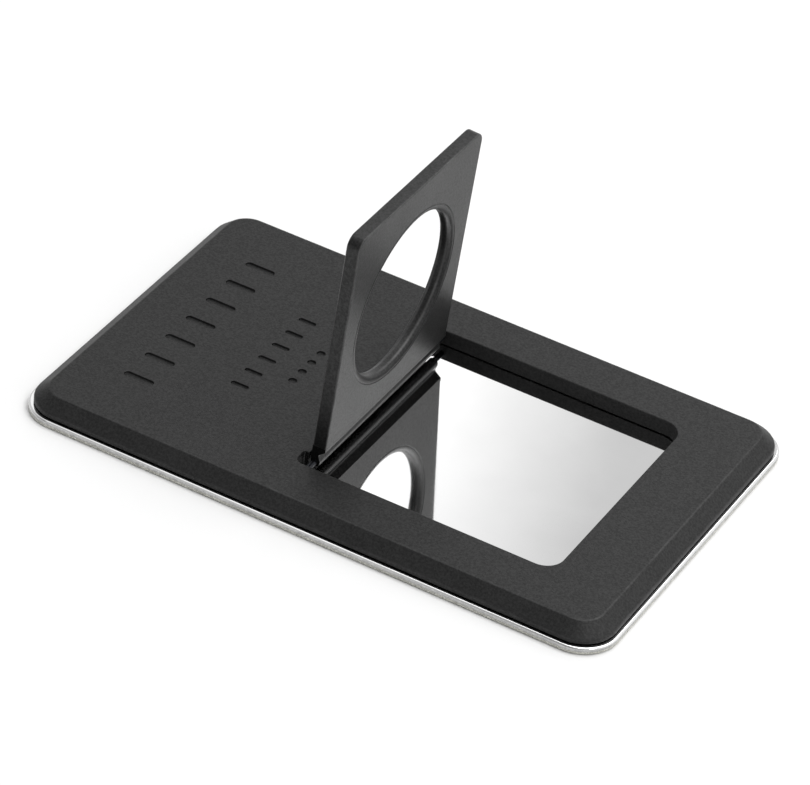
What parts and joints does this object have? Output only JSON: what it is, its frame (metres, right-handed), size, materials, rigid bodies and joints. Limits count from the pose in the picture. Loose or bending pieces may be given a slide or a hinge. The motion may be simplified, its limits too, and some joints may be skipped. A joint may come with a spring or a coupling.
{
  "type": "diamond sharpening plate",
  "caption": "Card-size diamond sharpening plate on polished steel, with a black moulded holder and a ring handle that flips up for a finger and folds flat into a window.",
  "frame": {"origin": "middle of the abrasive face, which lies on z = 0", "axes": "+X along the long side, from the holder's marked end to its window; +Y along the short side, parallel to the hinge; +Z out of the holder, away from the abrasive face"},
  "size_m": [0.085, 0.054, 0.0377],
  "materials": {
    "diamond_grit": "coarse nickel-bonded diamond grit, olive grey, sparkling",
    "polished_steel": "mirror polished",
    "adhesive": "matte black foam tape",
    "holder_plastic": "fine spark-eroded satin black",
    "handle_plastic": "fine spark-eroded satin black",
    "pin_steel": "blackened drawn steel wire"
  },
  "bodies": {
    "base": {"diamond_coating": "diamond_grit", "steel_plate": "polished_steel", "adhesive_sheet": "adhesive", "holder_frame": "holder_plastic"},
    "handle": {"ring_handle": "handle_plastic", "hinge_pin": "pin_steel"}
  },
  "joints": [
    {"name": "handle_fold", "type": "hinge", "parent": "base", "child": "handle", "pos_m": [-0.0046, 0, 0.00245], "axis": [0, 1, 0], "range_deg": [-12, 86.5]}
  ]
}
